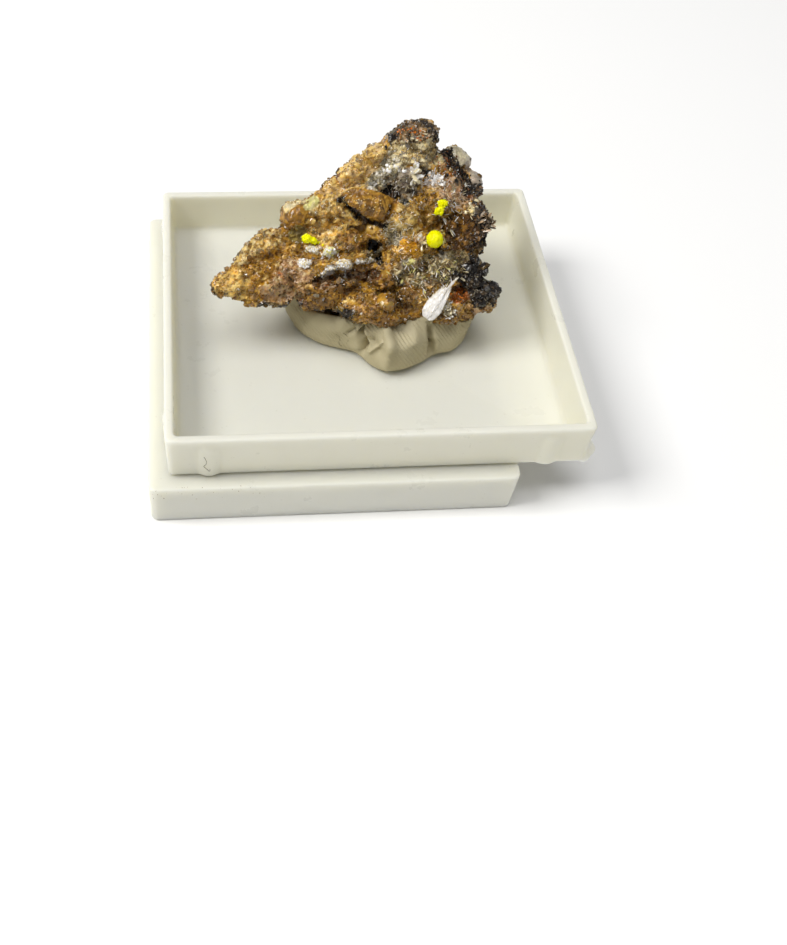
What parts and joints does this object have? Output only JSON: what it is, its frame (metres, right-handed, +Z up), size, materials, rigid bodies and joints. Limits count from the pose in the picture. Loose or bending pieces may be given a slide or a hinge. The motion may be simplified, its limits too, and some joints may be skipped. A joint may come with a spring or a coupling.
{
  "type": "mineral specimen in a display tray",
  "caption": "Small amber mineral specimen with yellow balls and white blades, held in putty in an open white tray on a second, upturned tray.",
  "frame": {"origin": "centre of the footprint, on the surface that the lower tray stands on", "axes": "+X to the right along the display tray's long side, +Y away from the specimen's face, +Z up"},
  "size_m": [0.0406, 0.0356, 0.0241],
  "materials": {
    "white_plastic": "smooth, slightly glossy, off-white",
    "putty": "matt grey-beige mounting putty with fingerprints",
    "rock": "amber to smoky crystals, glassy and partly see-through, with dark and white patches",
    "haiweeite": "bright yellow, matt, made of fine fibres",
    "bertrandite": "white, pearly"
  },
  "bodies": {
    "root": {"stand_tray": "white_plastic", "display_tray": "white_plastic", "mounting_putty": "putty", "matrix_rock": "rock", "haiweeite_ball": "haiweeite", "haiweeite_upper_tuft": "haiweeite", "haiweeite_left_tuft": "haiweeite", "bertrandite_blades": "bertrandite"}
  },
  "joints": []
}
